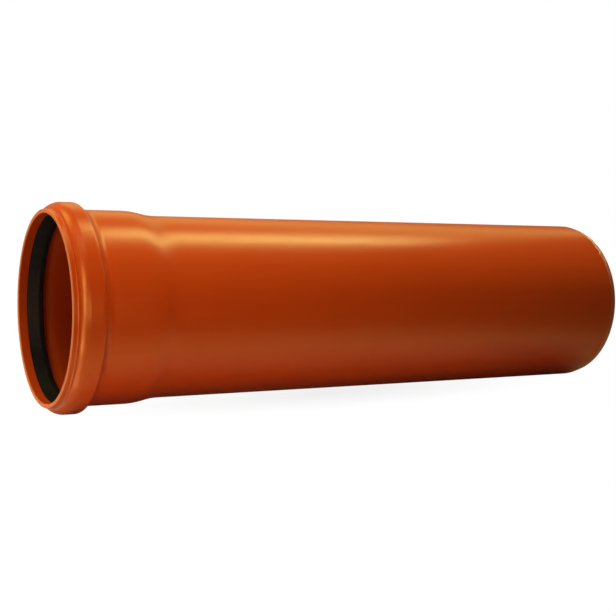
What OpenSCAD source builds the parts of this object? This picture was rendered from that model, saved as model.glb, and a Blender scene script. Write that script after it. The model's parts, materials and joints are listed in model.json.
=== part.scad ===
// Sewer pipe of PVC-U with one socketed end: a plain barrel and spigot, and at the other
// end a socket with a raised bead, whose hollow side holds a rubber sealing ring.
// Millimetres. The pipe lies on a level floor, which is z = 0. It touches the floor with
// its bead and with its spigot end, so its axis falls a little towards the spigot, at +X.
// The origin is on the floor, half way along the pipe and right under its axis.

/* [Barrel] */
// Outside diameter of the barrel and of the spigot
pipe_od = 160; // [110:1:250]
// Wall of the barrel
pipe_wall = 4.0; // [3.2:0.1:8]
// Laying length: the length that the pipe adds to a line, without its insertion depth
laying_l = 500; // [250:10:6000]

/* [Spigot end] */
// How much the chamfer takes off the wall at the spigot's end
chamfer_depth = 1.9; // [0.5:0.1:2.5]
// Angle between the chamfer and the axis
chamfer_angle = 15; // [10:1:45]

/* [Socket] */
// Play between the socket's bore and a spigot, on the diameter
socket_play = 0.5; // [0.2:0.1:1.5]
// Wall of the socket
socket_wall = 3.6; // [2.8:0.1:7]
// Depth from the mouth to the start of the taper
socket_l = 66; // [50:1:120]
// Length of the taper between the socket and the barrel
taper_l = 32; // [15:1:80]
// Depth that a spigot goes into the mouth
insertion_l = 74; // [50:1:140]
// Rounding of the two edges of the mouth
rim_round = 0.9; // [0.3:0.1:1.3]

/* [Bead] */
// Length of the straight lip between the mouth and the bead
lip_l = 5; // [3:0.5:10]
// Height of the bead over the outside of the socket
bead_h = 6.1; // [4:0.1:10]
// Length of the bead's rounded front
bead_front_l = 8; // [5.5:0.5:14]
// Length of the bead's straight crest
bead_crest_l = 9.5; // [7:0.5:16]
// Length of the bead's slope back to the socket
bead_rear_l = 11.5; // [8:0.5:14]
// Wall of the bead
bead_wall = 3.2; // [2.4:0.1:4]

/* [Sealing ring] */
// How far the ring's lip stands inside the surface of a spigot
seal_squeeze = 2.4; // [1:0.1:4]
// Length of the lip's straight land
seal_land_l = 3; // [1.5:0.5:4]
// Thickness of the lip behind its land
seal_lip_t = 2.4; // [1.5:0.1:3]
// Thickness of the ring's seat in the groove
seal_seat_t = 2; // [1.5:0.1:3]
// Length of the notch between the lip and the seat
seal_notch_l = 6.5; // [3:0.5:8]
// Gap between the ring and the groove
seal_gap = 0.2; // [0.1:0.05:0.4]

/* [Hidden] */
$fn = 120;

// Points in a quarter of an arc
arc_n = 8;
rim_n = 3;

// Radii, from the barrel outwards
spigot_r = pipe_od / 2;
barrel_bore_r = spigot_r - pipe_wall;
socket_bore_r = spigot_r + socket_play / 2;
socket_r = socket_bore_r + socket_wall;
bead_r = socket_r + bead_h;
groove_r = bead_r - bead_wall;

// Places along the axis, from the mouth
crest_start = lip_l + bead_front_l;
crest_end = crest_start + bead_crest_l;
bead_end = crest_end + bead_rear_l;
groove_start = lip_l + bead_wall;
barrel_start = socket_l + taper_l;
pipe_l = laying_l + insertion_l;
chamfer_start = pipe_l - chamfer_depth / tan(chamfer_angle);
spigot_end_r = spigot_r - chamfer_depth;

// Sealing ring: its seat fills the groove's crest, and its lip points into the pipe
seal_r = groove_r - seal_gap;
seal_start = groove_start + seal_gap;
seal_end = crest_end - seal_gap;
seal_land_r = spigot_r - seal_squeeze;
seal_tip_r = seal_lip_t / 2;
seal_land_end = seal_end - seal_tip_r;
seal_notch_r = (seal_land_r + seal_lip_t + seal_r - seal_seat_t) / 2;

// Lying on the floor: the bead is higher than the spigot, so the axis tilts
lie_tilt = atan((bead_r - spigot_r) / (chamfer_start - crest_end));
mouth_height = bead_r * cos(lie_tilt) + crest_end * sin(lie_tilt);
lowest_x = -(socket_r - rim_round) * sin(lie_tilt);
highest_x = pipe_l * cos(lie_tilt) + spigot_end_r * sin(lie_tilt);
middle_x = (lowest_x + highest_x) / 2;

// Points on an ellipse around [r, z], with half axes h across and l along the pipe.
// Angle 180 looks at the mouth, 90 away from the axis and 270 at the axis.
function arc(r, z, h, l, from, to, n) = [
    for (i = [0 : n])
        let (angle = from + (to - from) * i / n)
        [r + h * sin(angle), z + l * cos(angle)]
];

// Points on an S of two arcs that meet at one slope, from radius r0 at z0 to r1 at z1.
// The first arc has the given share of the two radii together.
function s_curve(r0, z0, r1, z1, share = 0.5) =
    let (
        turn = 2 * atan(abs(r1 - r0) / (z1 - z0)),
        both = (z1 - z0) / sin(turn),
        side = sign(r1 - r0),
        first = both * share,
        second = both - first
    )
    concat(
        [for (i = [0 : arc_n])
            let (angle = turn * i / arc_n)
            [r0 + side * first * (1 - cos(angle)), z0 + first * sin(angle)]],
        [for (i = [arc_n - 1 : -1 : 0])
            let (angle = turn * i / arc_n)
            [r1 - side * second * (1 - cos(angle)), z1 - second * sin(angle)]]
    );

function backwards(points) = [for (i = [len(points) - 1 : -1 : 0]) points[i]];

// The bead's rear slope turns sharply at the crest and gently at the socket
rear_share = 0.3;

function outside() = concat(
    arc(socket_r - rim_round, rim_round, rim_round, rim_round, 180, 90, rim_n),
    arc(socket_r, crest_start, bead_h, bead_front_l, 180, 90, arc_n),
    s_curve(bead_r, crest_end, socket_r, bead_end, rear_share),
    s_curve(socket_r, socket_l, spigot_r, barrel_start),
    [[spigot_r, chamfer_start], [spigot_end_r, pipe_l]]
);

function inside() = concat(
    arc(socket_bore_r + rim_round, rim_round, rim_round, rim_round, 180, 270, rim_n),
    arc(
        socket_bore_r, crest_start,
        groove_r - socket_bore_r, crest_start - groove_start, 180, 90, arc_n
    ),
    s_curve(groove_r, crest_end, socket_bore_r, bead_end, rear_share),
    s_curve(socket_bore_r, socket_l, barrel_bore_r, barrel_start),
    [[barrel_bore_r, pipe_l]]
);

// Lays a piece that is turned around Z on the floor, with its mouth end towards -X
module lie_down() {
    translate([-middle_x, 0, mouth_height])
        rotate([0, 90 + lie_tilt, 0])
            children();
}

// The whole pipe is one wall, extruded and then belled
module pipe() {
    color([0.80, 0.34, 0.13])
        lie_down()
            rotate_extrude()
                polygon(concat(outside(), backwards(inside())));
}

// Rubber ring in the groove: from its nose the lead-in narrows to the land, and behind the
// lip's rounded tip a notch leaves the lip free to bend away from the seat
module sealing_ring() {
    land = [[seal_land_r, seal_land_end - seal_land_l]];
    tip = arc(seal_land_r + seal_tip_r, seal_land_end, seal_tip_r, seal_tip_r, 270, 450, arc_n);
    notch = [[seal_notch_r, seal_end - seal_notch_l]];
    seat = [[seal_r - seal_seat_t, seal_end], [seal_r, seal_end]];
    front = arc(
        socket_bore_r + seal_gap, crest_start,
        seal_r - socket_bore_r - seal_gap, crest_start - seal_start, 90, 180, arc_n
    );
    color([0.10, 0.10, 0.10])
        lie_down()
            rotate_extrude()
                polygon(concat(land, tip, notch, seat, front));
}

pipe();
sealing_ring();
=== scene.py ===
# Looks of a sewer pipe of orange-brown PVC-U with one socketed end, lying on a pale floor.
# Metres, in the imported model's frame: +X along the pipe towards its spigot, and +Z up.
import json
import math

import bpy
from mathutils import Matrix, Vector


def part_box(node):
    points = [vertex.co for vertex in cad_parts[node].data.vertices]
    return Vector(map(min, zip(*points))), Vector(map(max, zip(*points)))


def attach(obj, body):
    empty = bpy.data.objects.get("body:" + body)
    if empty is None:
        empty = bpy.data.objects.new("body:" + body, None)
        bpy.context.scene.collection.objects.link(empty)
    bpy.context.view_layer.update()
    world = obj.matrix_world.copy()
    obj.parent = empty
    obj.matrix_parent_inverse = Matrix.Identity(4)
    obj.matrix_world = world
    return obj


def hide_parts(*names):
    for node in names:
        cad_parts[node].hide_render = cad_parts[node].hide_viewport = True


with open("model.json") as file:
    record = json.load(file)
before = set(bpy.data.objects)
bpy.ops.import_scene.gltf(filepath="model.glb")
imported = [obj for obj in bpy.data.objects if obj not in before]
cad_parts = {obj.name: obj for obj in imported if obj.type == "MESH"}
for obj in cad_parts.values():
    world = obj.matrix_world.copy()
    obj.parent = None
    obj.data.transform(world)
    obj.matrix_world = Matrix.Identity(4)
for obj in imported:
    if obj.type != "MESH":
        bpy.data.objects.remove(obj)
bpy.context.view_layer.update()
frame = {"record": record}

MM = 0.001

# ---- Sizes of the details. The radii and the places along the axis follow from the frame ----

# Lengths of the socket's front, from the mouth inwards
LIP_L = 5 * MM
BEAD_FRONT_L = 8 * MM
BEAD_CREST_L = 9.5 * MM
BEAD_REAR_L = 11.5 * MM
CREST_START = LIP_L + BEAD_FRONT_L
CREST_END = CREST_START + BEAD_CREST_L
BEAD_END = CREST_END + BEAD_REAR_L

# Walls of the socket and the bead
SOCKET_WALL = 3.6 * MM
BEAD_WALL = 3.2 * MM

# Shape of the bead: how sharp its front's ellipse is, and the first arc's share of its slope
BEAD_POWER = 1.5
REAR_SHARE = 0.3

# Angle between the spigot's chamfer and the axis, in degrees
CHAMFER_ANGLE = 15

# Roundings of the wall's edges, and the depth to which the mouth counts as cut
RIM_ROUND = 0.9 * MM
RIM_CUT = 0.5 * MM
LIP_FILLET = 1.6 * MM
GROOVE_ROUND = 0.4 * MM
CHAMFER_ROUND = 2 * MM
CUT_ROUND = 0.25 * MM

# Sealing ring
SEAL_GAP = 0.2 * MM
SEAL_LIP_T = 2.4 * MM
SEAL_SEAT_T = 2 * MM
SEAL_NOTCH_L = 6.5 * MM
SEAL_ROUND = 0.35 * MM
NOSE_ROUND = 0.5 * MM
LAND_ROUND = 4 * MM

# Steps of the curves in the outlines
FRONT_STEPS = 18
GROOVE_STEPS = 10
SLOPE_STEPS = 9
RIM_STEPS = 6
FILLET_STEPS = 5
EDGE_STEPS = 4
CHAMFER_STEPS = 3
TIP_STEPS = 12

# Fineness of the turned meshes: sides of a ring, and the widest gap between two rings
SEGMENTS = 256
LOOP_GAP = 24 * MM
UV_NAME = "OFBake"

# ---- Looks ----

# Linear colours
WHITE = (1.0, 1.0, 1.0)
PVC_DEEP = (0.62, 0.062, 0.0036)
PVC_PALE = (0.66, 0.069, 0.0042)
PVC_CUT = (0.72, 0.20, 0.075)
# Painted shade: the bore's colours are the skin's, darkened for the inside of the pipe
BORE_SHADE_DEEP = (0.45, 0.046, 0.003)
BORE_SHADE_PALE = (0.49, 0.052, 0.0035)
RUBBER = (0.004, 0.004, 0.004)
RUBBER_DUSTY = (0.011, 0.0105, 0.0095)

# Gloss of the materials
PVC_SHINE = (1.0, 1.0, 0.33)
PVC_IOR = 1.53
BORE_SPECULAR = 0.08
RUBBER_SPECULAR = 0.13

# Roughness, from the shiniest to the dullest place. The skin's is 0.28 or more: under 0.274
# the denoiser takes a surface for a mirror, and draws hard outlines round its patches.
SKIN_ROUGHNESS = (0.28, 0.31)
HANDLED_ROUGHNESS = (0, 0.02)
BORE_ROUGHNESS = (0.62, 0.7)
CUT_ROUGHNESS = (0.48, 0.62)
RUBBER_ROUGHNESS = (0.42, 0.6)

# Grains of the patterns: their length along the pipe and their width across it
FLOW_GRAIN = (0.8, 6 * MM)
CLOUD_GRAIN = (0.16, 0.09)
PEEL_GRAIN = (1.8 * MM, 1.3 * MM)
HANDLED_GRAIN = (90 * MM, 9 * MM)
BORE_FLOW_GRAIN = (0.6, 3 * MM)
BORE_CLOUD_GRAIN = (0.1, 0.05)
FINE_GRAIN = (0.5 * MM, 0.5 * MM)
DUST_GRAIN = (14 * MM, 14 * MM)
TOOL_RING = 0.35 * MM

# Heights of the patterns, and the height of the orange peel and the fuzz as a share of them
PVC_RELIEF = 0.008 * MM
CUT_RELIEF = 0.05 * MM
RUBBER_RELIEF = 0.03 * MM
PEEL_SHARE = 0.5
FUZZ_SHARE = 0.4

# Ranges of a pattern's values: all of them, most of them, and those that stand out. Two
# patterns that shade a colour together give up to a half each.
ALL = (0, 1)
HALF = (0, 0.5)
MOST = (0.3, 0.7)
HANDLED = (0.3, 0.8)
TOOL_MARKS = (0.25, 0.6)
DUSTY = (0.42, 0.75)

# ---- Studio ----

# Floor: the pool that keeps the shadow is an ellipse under the pipe. A painted pool of light,
# as large and nearer to the mouth, makes the floor pale round the pipe, so that it lights the
# pipe from below, and painted dim away from it. The fades are in pool sizes.
FLOOR_R = 2.5
FLOOR_SIDES = 96
# Colours of the painted pool of light on the floor: pale round the pipe, dim away from it
FLOOR = (0.75, 0.75, 0.75)
FLOOR_PAINTED_DIM = (0.12, 0.12, 0.12)
POOL = (0.5, 0.2)
POOL_FADE = (0.05, 0.5)
PAINTED_POOL_X = -0.1
PAINTED_POOL_FADE = (0.6, 1.2)

# How white the camera sees the middle of the pool. The rest of it shows the shadow.
POOL_LIFT = 0.85

# White that gloss sees on the floor, from this far behind the pipe, and in the sky behind it
FLOOR_BEHIND = (0.8, 1.2)
SKY_BEHIND = (0.7, 0.95)
SKY_SHINE = 0.35

# Even light from all round
AMBIENT = (0.05, 0.05, 0.05)

# Colours of the lamps
SUNNY = (1.0, 1.0, 0.48)
GOLDEN = (1.0, 1.0, 0.3)
WARM = (1.0, 0.58, 0.38)

# Camera: lens and sensor in millimetres, and its turns in degrees
CAMERA_LENS = 65.2
CAMERA_SENSOR = 36
CAMERA_PLACE = (-0.5482, -0.9255, 0.1572)
CAMERA_DOWN = 4.054
CAMERA_RIGHT = 29.158

# Sockets of the Mix node for colours
MIX_SHARE, MIX_FIRST, MIX_SECOND = 0, 6, 7
MIX_RESULT = 2


# ---- The pipe's axis, radii and places along the axis, from the frame ----

MOUNTS = {mount["name"]: mount for mount in frame["record"]["mounts"]}


def mount_radius(name):
    return MOUNTS[name]["dims"]["r_mm"] * MM


def mount_length(name):
    return MOUNTS[name]["dims"]["length_mm"] * MM


def mount_place(name):
    return Vector(MOUNTS[name]["pos_m"])


AXIS = Vector(MOUNTS["spigot"]["axis"]).normalized()
SIDE = Vector((0, 1, 0))
UP = AXIS.cross(SIDE)
MOUTH = mount_place("socket") - AXIS * (BEAD_END + mount_length("socket") / 2)
TILT = math.atan2(-AXIS.z, AXIS.x)


def mount_ends(name):
    """Distances from the mouth to the two ends of a mount, along the axis."""
    middle = (mount_place(name) - MOUTH).dot(AXIS)
    half = mount_length(name) / 2
    return middle - half, middle + half


SPIGOT_R = mount_radius("spigot")
BORE_R = mount_radius("waterway")
SOCKET_BORE_R = mount_radius("socket")
SOCKET_R = SOCKET_BORE_R + SOCKET_WALL
BEAD_R = (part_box("pipe")[1].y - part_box("pipe")[0].y) / 2
GROOVE_R = BEAD_R - BEAD_WALL
SEAL_R = GROOVE_R - SEAL_GAP
LAND_R = mount_radius("socket_seal")

GROOVE_START = LIP_L + BEAD_WALL
SOCKET_END = mount_ends("socket")[1]
BARREL_START, CHAMFER_START = mount_ends("spigot")
PIPE_END = mount_ends("waterway")[1]
LAND_START, LAND_END = mount_ends("socket_seal")
CHAMFER_END_R = SPIGOT_R - (PIPE_END - CHAMFER_START) * math.tan(math.radians(CHAMFER_ANGLE))


# ---- Outlines: points (z, r, heading), with z from the mouth and r from the axis ----
# An outline keeps the material on its right, so the surface looks to its left. A heading is
# in degrees: 0 goes into the pipe and 90 away from the axis.


def corner(z, r, heading, new_heading, radius, steps):
    """Points on the rounding of a corner, where the outline turns from one heading to another."""
    side = math.copysign(1, new_heading - heading)
    turn = abs(new_heading - heading)
    back = radius * math.tan(math.radians(turn) / 2)
    first = math.radians(heading)
    start_z = z - back * math.cos(first)
    start_r = r - back * math.sin(first)
    middle_z = start_z - side * radius * math.sin(first)
    middle_r = start_r + side * radius * math.cos(first)
    points = []
    for step in range(steps + 1):
        degrees = heading + (new_heading - heading) * step / steps
        angle = math.radians(degrees)
        points.append((
            middle_z + side * radius * math.sin(angle),
            middle_r - side * radius * math.cos(angle),
            degrees,
        ))
    return points


def bulge(z, r, half_l, half_h, steps, power=2.0):
    """A quarter of an ellipse round (z, r), from straight outwards to straight along. A lower
    power than 2 makes its middle flatter and its two ends sharper."""
    points = []
    for step in range(steps + 1):
        angle = math.radians(90 * step / steps)
        along = abs(math.cos(angle)) ** (2 / power)
        out = math.sin(angle) ** (2 / power)
        heading = math.atan2(half_h * along ** (power - 1), half_l * out ** (power - 1))
        points.append((z - half_l * along, r + half_h * out, math.degrees(heading)))
    return points


def s_curve(z0, r0, z1, r1, share=0.5):
    """Two arcs that meet at one slope. The first has the given share of the radii together."""
    turn = 2 * math.atan(abs(r1 - r0) / (z1 - z0))
    both = (z1 - z0) / math.sin(turn)
    side = math.copysign(1, r1 - r0)
    points = []
    for step in range(SLOPE_STEPS + 1):
        angle = turn * step / SLOPE_STEPS
        drop = side * both * share * (1 - math.cos(angle))
        points.append((z0 + both * share * math.sin(angle), r0 + drop, side * math.degrees(angle)))
    for step in range(SLOPE_STEPS - 1, -1, -1):
        angle = turn * step / SLOPE_STEPS
        drop = side * both * (1 - share) * (1 - math.cos(angle))
        along = both * (1 - share) * math.sin(angle)
        points.append((z1 - along, r1 - drop, side * math.degrees(angle)))
    return points


def heading_of(z0, r0, z1, r1):
    """The heading from one point of an outline to another, from -360 to 0 degrees."""
    return math.degrees(math.atan2(r1 - r0, z1 - z0)) % -360


def backwards(points):
    return [(z, r, heading + 180) for z, r, heading in reversed(points)]


def with_loops(points):
    """The outline with more points on its long straight stretches."""
    result = []
    for here, there in zip(points, points[1:] + points[:1]):
        result.append(here)
        steps = math.ceil(math.dist(here[:2], there[:2]) / LOOP_GAP)
        for step in range(1, steps):
            share = step / steps
            result.append((
                here[0] + (there[0] - here[0]) * share,
                here[1] + (there[1] - here[1]) * share,
                here[2],
            ))
    return result


def outer_wall():
    """From the inner edge of the mouth over the bead, the socket and the barrel to the cut end."""
    foot = SOCKET_R + LIP_FILLET
    return [
        *corner(0, SOCKET_BORE_R, 180, 90, RIM_ROUND, RIM_STEPS),
        *corner(0, SOCKET_R, 90, 0, RIM_ROUND, RIM_STEPS),
        *corner(LIP_L, SOCKET_R, 0, 90, LIP_FILLET, FILLET_STEPS),
        *bulge(CREST_START, foot, BEAD_FRONT_L, BEAD_R - foot, FRONT_STEPS, BEAD_POWER)[1:],
        *s_curve(CREST_END, BEAD_R, BEAD_END, SOCKET_R, REAR_SHARE),
        *s_curve(SOCKET_END, SOCKET_R, BARREL_START, SPIGOT_R),
        *corner(CHAMFER_START, SPIGOT_R, 0, -CHAMFER_ANGLE, CHAMFER_ROUND, CHAMFER_STEPS),
        *corner(PIPE_END, CHAMFER_END_R, -CHAMFER_ANGLE, -90, CUT_ROUND, EDGE_STEPS),
    ]


def inner_wall():
    """From behind the mouth's edge through the groove and the socket to the cut end."""
    foot = SOCKET_BORE_R + GROOVE_ROUND
    front_l = CREST_START - GROOVE_START
    return [
        *corner(GROOVE_START, SOCKET_BORE_R, 0, 90, GROOVE_ROUND, EDGE_STEPS),
        *bulge(CREST_START, foot, front_l, GROOVE_R - foot, GROOVE_STEPS)[1:],
        *s_curve(CREST_END, GROOVE_R, BEAD_END, SOCKET_BORE_R, REAR_SHARE),
        *s_curve(SOCKET_END, SOCKET_BORE_R, BARREL_START, BORE_R),
        *corner(PIPE_END, BORE_R, 0, 90, CUT_ROUND, EDGE_STEPS),
    ]


def seal_outline():
    """The rubber ring: round back, seat, notch, lip, land and lead-in cone."""
    end = CREST_END - SEAL_GAP
    start = GROOVE_START + SEAL_GAP
    nose_r = SOCKET_BORE_R + SEAL_GAP
    seat_r = SEAL_R - SEAL_SEAT_T
    lip_r = LAND_R + SEAL_LIP_T
    notch_z = end - SEAL_NOTCH_L
    notch_r = (lip_r + seat_r) / 2
    lip = heading_of(notch_z, notch_r, LAND_END, lip_r)
    seat = heading_of(end, seat_r, notch_z, notch_r)
    cone = heading_of(LAND_START, LAND_R, start, nose_r)
    # The lip's end is one rounding, just large enough to end level with the seat
    lip_end = notch_z + (notch_r - LAND_R) / math.tan(math.radians(-lip))
    lip_turn = math.tan(math.radians(180 + lip) / 2)
    tip = (lip_end - end) / (lip_turn - 1)
    foot = nose_r + NOSE_ROUND
    return [
        *bulge(CREST_START, foot, CREST_START - start, SEAL_R - foot, GROOVE_STEPS),
        *corner(end, SEAL_R, 0, -90, SEAL_ROUND, EDGE_STEPS),
        *corner(end, seat_r, -90, seat, SEAL_ROUND, EDGE_STEPS),
        *corner(notch_z, notch_r, seat, lip, SEAL_ROUND, FILLET_STEPS),
        *corner(lip_end, LAND_R, lip, -180, tip, TIP_STEPS),
        *corner(LAND_START, LAND_R, -180, cone, LAND_ROUND, EDGE_STEPS),
        *corner(start, nose_r, cone, -270, NOSE_ROUND, FILLET_STEPS),
    ]


# ---- Turned meshes ----


def into_scene(name, data):
    """A new object that shows this mesh, lamp or camera."""
    made = bpy.data.objects.new(name, data)
    bpy.context.scene.collection.objects.link(made)
    return made


def ring_points(outline):
    """The points and normals of the rings that an outline makes round the pipe's axis."""
    vertices = []
    normals = []
    for z, r, heading in outline:
        along = -math.sin(math.radians(heading))
        across = math.cos(math.radians(heading))
        for turn in range(SEGMENTS):
            angle = math.pi + math.tau * turn / SEGMENTS
            radial = UP * math.cos(angle) + SIDE * math.sin(angle)
            vertices.append(MOUTH + AXIS * z + radial * r)
            normals.append(AXIS * along + radial * across)
    return vertices, normals


def ring_faces(rings):
    """The faces between each ring and the next. The last ring joins the first."""
    faces = []
    for ring in range(rings):
        after = (ring + 1) % rings
        for turn in range(SEGMENTS):
            beside = (turn + 1) % SEGMENTS
            faces.append((
                ring * SEGMENTS + turn,
                after * SEGMENTS + turn,
                after * SEGMENTS + beside,
                ring * SEGMENTS + beside,
            ))
    return faces


def turned(name, outline):
    """A closed mesh made by turning an outline round the pipe's axis. Its seam is underneath."""
    vertices, normals = ring_points(outline)
    mesh = bpy.data.meshes.new(name)
    mesh.from_pydata(vertices, [], ring_faces(len(outline)))
    mesh.shade_smooth()
    mesh.normals_split_custom_set_from_vertices(normals)
    unwrap(mesh, outline)
    return into_scene(name, mesh)


def unwrap(mesh, outline):
    """Lays the surface out as one rectangle: round the pipe by along the outline."""
    lengths = [0]
    for here, there in zip(outline, outline[1:] + outline[:1]):
        lengths.append(lengths[-1] + math.dist(here[:2], there[:2]))
    layer = mesh.uv_layers.new(name=UV_NAME)
    spots = []
    for ring in range(len(outline)):
        low = lengths[ring] / lengths[-1]
        high = lengths[ring + 1] / lengths[-1]
        for turn in range(SEGMENTS):
            left = turn / SEGMENTS
            right = (turn + 1) / SEGMENTS
            spots += [left, low, left, high, right, high, right, low]
    layer.uv.foreach_set("vector", spots)


def mark_faces(piece, slots):
    """Gives the faces between two points of the outline the slot that comes with the first."""
    for ring, slot in enumerate(slots):
        for turn in range(SEGMENTS):
            piece.data.polygons[ring * SEGMENTS + turn].material_index = slot


def wall_slots(outline, inner):
    """Slot 0 is the skin, 1 the bore, from the given point on, and 2 what a tool has cut."""
    slots = []
    for place, point in enumerate(outline):
        z, r = point[:2]
        if z < RIM_CUT or (z >= CHAMFER_START and r > BORE_R):
            slots.append(2)
        elif place >= inner:
            slots.append(1)
        else:
            slots.append(0)
    return slots


def finish_piece(piece, node, slot, *materials):
    """Gives a piece its materials and its body, and hides the CAD node that it replaces. The slot is
    not used.
    """
    for material in materials:
        piece.data.materials.append(material)
    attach(piece, "root")
    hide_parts(node)


def pipe_wall():
    outside = outer_wall()
    outline = with_loops(outside + backwards(inner_wall()))
    inner = outline.index(outside[-1]) + 1
    piece = turned("pipe_wall", outline)
    finish_piece(piece, "pipe", "pvc", pvc_skin(), pvc_bore(), pvc_cut())
    mark_faces(piece, wall_slots(outline, inner))


def lip_seal():
    piece = turned("lip_seal", with_loops(seal_outline()))
    finish_piece(piece, "sealing_ring", "rubber", rubber())


# ---- Shader nodes ----


def add(tree, kind, inputs=None, **settings):
    """A shader node. An input is given as a number, a tuple or the socket that it follows."""
    made = tree.nodes.new("ShaderNode" + kind)
    for name, value in settings.items():
        setattr(made, name, value)
    for name, value in (inputs or {}).items():
        socket = made.inputs[name]
        if isinstance(value, bpy.types.NodeSocket):
            tree.links.new(value, socket)
        else:
            socket.default_value = value
    return made


def remap(tree, value, reach, result):
    """The value, turned from one range to another and held inside it."""
    ranges = {
        "Value": value,
        "From Min": reach[0], "From Max": reach[1],
        "To Min": result[0], "To Max": result[1],
    }
    return add(tree, "MapRange", ranges).outputs["Result"]


def total(tree, *values):
    result = values[0]
    for value in values[1:]:
        result = add(tree, "Math", {0: result, 1: value}, operation="ADD").outputs["Value"]
    return result


def times(tree, first, second):
    return add(tree, "Math", {0: first, 1: second}, operation="MULTIPLY").outputs["Value"]


def length(tree, vector):
    return add(tree, "VectorMath", {0: vector}, operation="LENGTH").outputs["Value"]


def opaque(colour):
    """A colour with its alpha. A socket stays as it is."""
    return colour if isinstance(colour, bpy.types.NodeSocket) else (*colour, 1)


def blend_colours(tree, share, first, second):
    """The first colour where the share is 0, and the second where it is 1."""
    colours = {MIX_SHARE: share, MIX_FIRST: opaque(first), MIX_SECOND: opaque(second)}
    return add(tree, "Mix", colours, data_type="RGBA").outputs[MIX_RESULT]


def parts_of(tree, vector):
    return add(tree, "SeparateXYZ", {"Vector": vector}).outputs


def away_from_axis(tree, parts):
    """The part of a place in the pipe's space that points away from its axis."""
    return add(tree, "CombineXYZ", {"Y": parts["Y"], "Z": parts["Z"]}).outputs["Vector"]


def pipe_space(tree):
    """Places in metres from the middle of the mouth, with X along the pipe."""
    place = add(tree, "TexCoord").outputs["Object"]
    turned_back = {"Vector": place, "Location": MOUTH, "Rotation": (0, TILT, 0)}
    return add(tree, "Mapping", turned_back, vector_type="TEXTURE").outputs["Vector"]


def skin_space(tree, space):
    """The same places, moved to one radius, so that a pattern runs along every outline."""
    parts = parts_of(tree, space)
    spoke = {0: away_from_axis(tree, parts)}
    unit = add(tree, "VectorMath", spoke, operation="NORMALIZE").outputs["Vector"]
    scale = {0: unit, "Scale": SPIGOT_R}
    rim = add(tree, "VectorMath", scale, operation="SCALE").outputs["Vector"]
    along = add(tree, "CombineXYZ", {"X": parts["X"]}).outputs["Vector"]
    return add(tree, "VectorMath", {0: rim, 1: along}, operation="ADD").outputs["Vector"]


def noise(tree, space, grain, detail=2.0, roughness=0.5):
    """Noise from 0 to 1, whose grains are this long along the pipe and this wide across it."""
    along, across = grain
    grains = {"Vector": space, "Scale": (1 / along, 1 / across, 1 / across)}
    stretched = add(tree, "Mapping", grains).outputs["Vector"]
    look = {"Vector": stretched, "Scale": 1.0, "Detail": detail, "Roughness": roughness}
    return add(tree, "TexNoise", look).outputs["Fac"]


# ---- Materials ----


def new_material(name):
    material = bpy.data.materials.new(name)
    material.use_nodes = True
    return material.node_tree, material.node_tree.nodes["Principled BSDF"], material


def surface(tree, shader, colour, roughness, height, relief):
    """Gives the shader a colour, a roughness and a pattern that is raised by the relief."""
    look = {"Height": height, "Distance": relief, "Strength": 1.0}
    tree.links.new(colour, shader.inputs["Base Color"])
    tree.links.new(roughness, shader.inputs["Roughness"])
    tree.links.new(add(tree, "Bump", look).outputs["Normal"], shader.inputs["Normal"])


def plastic(shader):
    shader.inputs["IOR"].default_value = PVC_IOR
    shader.inputs["Specular Tint"].default_value = (*PVC_SHINE, 1)


def pvc_skin():
    """Skin of the extruded pipe: flow lines along it, a faint orange peel and light handling."""
    tree, shader, material = new_material("pvc_skin")
    space = pipe_space(tree)
    skin = skin_space(tree, space)
    flow = noise(tree, skin, FLOW_GRAIN)
    cloud = noise(tree, space, CLOUD_GRAIN)
    peel = noise(tree, space, PEEL_GRAIN)
    handled = noise(tree, skin, HANDLED_GRAIN, detail=0)
    shade = total(tree, remap(tree, flow, MOST, HALF), remap(tree, cloud, MOST, HALF))
    colour = blend_colours(tree, shade, PVC_DEEP, PVC_PALE)
    extruded = remap(tree, cloud, MOST, SKIN_ROUGHNESS)
    roughness = total(tree, extruded, remap(tree, handled, HANDLED, HANDLED_ROUGHNESS))
    height = total(tree, flow, remap(tree, peel, ALL, (0, PEEL_SHARE)))
    surface(tree, shader, colour, roughness, height, PVC_RELIEF)
    plastic(shader)
    return material


def pvc_bore():
    """Inside of the pipe: darker than its skin, which is painted shade, and duller, with finer flow
    lines.
    """
    tree, shader, material = new_material("pvc_bore")
    space = pipe_space(tree)
    flow = noise(tree, skin_space(tree, space), BORE_FLOW_GRAIN, detail=3)
    cloud = noise(tree, space, BORE_CLOUD_GRAIN)
    # Painted shade: the bore's colours are darker than the skin's
    colour = blend_colours(tree, flow, BORE_SHADE_DEEP, BORE_SHADE_PALE)
    surface(tree, shader, colour, remap(tree, cloud, MOST, BORE_ROUGHNESS), flow, PVC_RELIEF)
    shader.inputs["Specular IOR Level"].default_value = BORE_SPECULAR
    plastic(shader)
    return material


def pvc_cut():
    """Cut faces of the mouth and the spigot: duller and paler, with rings that the tool left."""
    tree, shader, material = new_material("pvc_cut")
    space = pipe_space(tree)
    parts = parts_of(tree, space)
    # Radius and depth together, so that the rings run over the face and the chamfer alike
    place = total(tree, length(tree, away_from_axis(tree, parts)), parts["X"])
    rings = add(tree, "TexNoise", {"W": place, "Scale": 1 / TOOL_RING}, noise_dimensions="1D")
    marks = rings.outputs["Fac"]
    fuzz = noise(tree, space, FINE_GRAIN)
    colour = blend_colours(tree, remap(tree, marks, TOOL_MARKS, ALL), PVC_PALE, PVC_CUT)
    height = total(tree, marks, remap(tree, fuzz, ALL, (0, FUZZ_SHARE)))
    surface(tree, shader, colour, remap(tree, fuzz, MOST, CUT_ROUGHNESS), height, CUT_RELIEF)
    shader.inputs["IOR"].default_value = PVC_IOR
    return material


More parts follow.
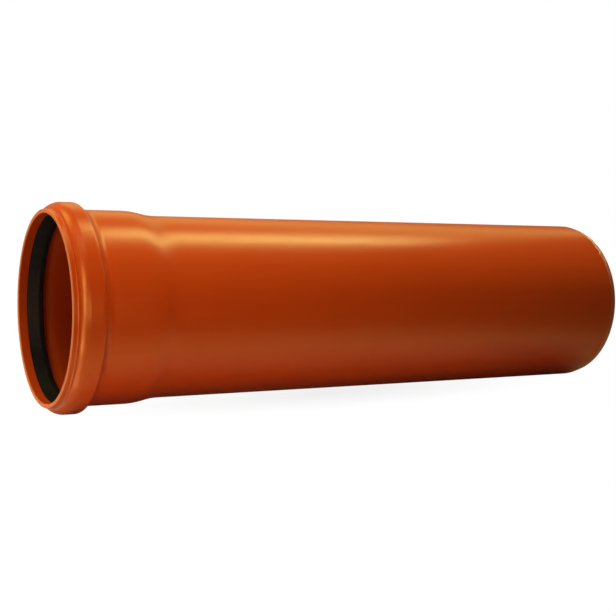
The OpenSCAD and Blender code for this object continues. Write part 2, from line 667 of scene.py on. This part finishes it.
def rubber():
    """Black rubber: satin, with a fine moulded grain and a little dust."""
    tree, shader, material = new_material("seal_rubber")
    space = pipe_space(tree)
    dust = noise(tree, space, DUST_GRAIN, detail=4, roughness=0.65)
    grain = noise(tree, space, FINE_GRAIN, detail=3)
    colour = blend_colours(tree, remap(tree, dust, DUSTY, ALL), RUBBER, RUBBER_DUSTY)
    surface(tree, shader, colour, remap(tree, dust, MOST, RUBBER_ROUGHNESS), grain, RUBBER_RELIEF)
    shader.inputs["Specular IOR Level"].default_value = RUBBER_SPECULAR
    return material


# ---- Studio ----


def mirrored_rays(tree, path):
    return total(tree, path.outputs["Is Glossy Ray"], path.outputs["Is Transmission Ray"])


def ellipse_distance(tree, place, half, middle_x):
    """0 in the middle of an ellipse on the floor, and 1 on its edge."""
    shape = {
        "Vector": place,
        "Location": (-middle_x / half[0], 0, 0),
        "Scale": (1 / half[0], 1 / half[1], 0),
    }
    return length(tree, add(tree, "Mapping", shape).outputs["Vector"])


def floor_paint():
    """Matte, with a painted pool of light: pale under the pipe, which it lights from below, and
    painted dim away from it. The camera sees it white away from the pipe, and gloss sees it white
    behind the pipe."""
    tree, shader, material = new_material("floor")
    tree.nodes.remove(shader)
    place = add(tree, "TexCoord").outputs["Object"]
    path = add(tree, "LightPath")
    away = ellipse_distance(tree, place, POOL, 0)
    lift = remap(tree, away, POOL_FADE, (POOL_LIFT, 1))
    seen = times(tree, path.outputs["Is Camera Ray"], lift)
    behind = remap(tree, parts_of(tree, place)["Y"], FLOOR_BEHIND, ALL)
    mirrored = times(tree, mirrored_rays(tree, path), behind)
    # Painted pool of light: the floor's colour fades from pale round the mouth to dim away from it
    painted_dimming = remap(tree, ellipse_distance(tree, place, POOL, PAINTED_POOL_X), PAINTED_POOL_FADE, ALL)
    painted_pool = blend_colours(tree, painted_dimming, FLOOR, FLOOR_PAINTED_DIM)
    near = add(tree, "BsdfDiffuse", {"Color": painted_pool}).outputs["BSDF"]
    white = blend_colours(tree, mirrored_rays(tree, path), WHITE, SUNNY)
    far = add(tree, "Emission", {"Color": white, "Strength": 1.0}).outputs["Emission"]
    mixed = add(tree, "MixShader", {0: total(tree, seen, mirrored), 1: near, 2: far})
    tree.links.new(mixed.outputs["Shader"], tree.nodes["Material Output"].inputs["Surface"])
    return material


def floor():
    """A pale floor. It keeps the pipe's shadow, and turns into the white backdrop round it."""
    edge = []
    for turn in range(FLOOR_SIDES):
        angle = math.tau * turn / FLOOR_SIDES
        edge.append((FLOOR_R * math.cos(angle), FLOOR_R * math.sin(angle), 0))
    mesh = bpy.data.meshes.new("floor")
    mesh.from_pydata(edge, [], [tuple(range(FLOOR_SIDES))])
    mesh.materials.append(floor_paint())
    piece = into_scene("floor", mesh)


def backdrop():
    """White all round for the camera. Gloss and glass see its white behind the pipe."""
    world = bpy.data.worlds.new("studio")
    bpy.context.scene.world = world
    world.use_nodes = True
    tree = world.node_tree
    towards = parts_of(tree, add(tree, "TexCoord").outputs["Generated"])
    behind = remap(tree, towards["Y"], SKY_BEHIND, (0, SKY_SHINE))
    path = add(tree, "LightPath")
    mirrored = blend_colours(tree, times(tree, mirrored_rays(tree, path), behind), AMBIENT, SUNNY)
    colour = blend_colours(tree, path.outputs["Is Camera Ray"], mirrored, WHITE)
    tree.links.new(colour, tree.nodes["Background"].inputs["Color"])


def camera():
    data = bpy.data.cameras.new("camera")
    data.sensor_width = CAMERA_SENSOR
    data.lens = CAMERA_LENS
    piece = into_scene("camera", data)
    piece.location = CAMERA_PLACE
    piece.rotation_euler = (math.radians(90 - CAMERA_DOWN), 0, math.radians(-CAMERA_RIGHT))
    bpy.context.scene.camera = piece


def area_light(name, place, aim, size, radiance, colour, diffuse=True, glossy=True):
    """A rectangular lamp whose face has this brightness, where 1 is white. Without diffuse it
    shows in gloss only, and without glossy it shows in no gloss."""
    data = bpy.data.lights.new(name, "AREA")
    data.shape = "RECTANGLE"
    data.size, data.size_y = size
    data.color = colour
    data.energy = radiance * math.pi * size[0] * size[1]
    lamp = into_scene(name, data)
    lamp.location = place
    lamp.rotation_mode = "QUATERNION"
    lamp.rotation_quaternion = (Vector(aim) - Vector(place)).to_track_quat("-Z", "Y")
    lamp.visible_camera = False
    lamp.visible_diffuse = diffuse
    lamp.visible_glossy = glossy


def lights():
    """Soft lamps above, behind, at both ends and in front."""
    area_light("top", (-0.42, -0.2, 0.97), (-0.3, 0, 0.05), (0.6, 0.4), 6.9, WHITE, glossy=False)
    # The light band along the top of the barrel, and its soft edges
    area_light("tube", (0.32, 0.06, 0.9), (0.32, 0, 0), (0.64, 0.06), 14.0, SUNNY)
    area_light("panel", (0.27, 0.08, 0.9), (0.27, 0, 0), (0.6, 0.26), 3.4, SUNNY)
    # Behind the pipe, at its ends and in front
    area_light("rear", (0.7, 1.1, 1.15), (0, 0, 0.1), (1.8, 0.6), 0.9, GOLDEN)
    area_light("crown", (-0.55, 0.35, 0.75), (-0.28, 0, 0.15), (0.3, 0.3), 2.8, GOLDEN)
    area_light("left", (-1.1, 0.45, 0.3), (-0.27, 0, 0.09), (0.4, 0.6), 8.4, SUNNY, glossy=False)
    area_light("right", (1.2, 0.4, 0.35), (0.28, 0, 0.08), (0.4, 0.4), 8.0, SUNNY)
    area_light("front", (-0.35, -0.6, 0.12), (-0.2, 0, 0.05), (0.4, 0.2), 3.5, WARM)
    # Bright surfaces of the studio that show as the light line along the bead's front
    gloss_only = {"colour": WARM, "diffuse": False}
    area_light("edge", (-1.05, -0.95, 0.6), (-0.27, 0, 0.6), (0.2, 1.2), 15.0, **gloss_only)
    area_light("sill", (-0.39, -0.17, 0.04), (-0.24, -0.02, 1), (0.045, 0.17), 6.8, **gloss_only)
    area_light("foot", (-0.32, -0.094, 0.01), (-0.314, -0.086, 1), (0.022, 0.085), 3.0, **gloss_only)


camera()
backdrop()
floor()
lights()
pipe_wall()
lip_seal()
bpy.context.scene.view_settings.view_transform = "Standard"
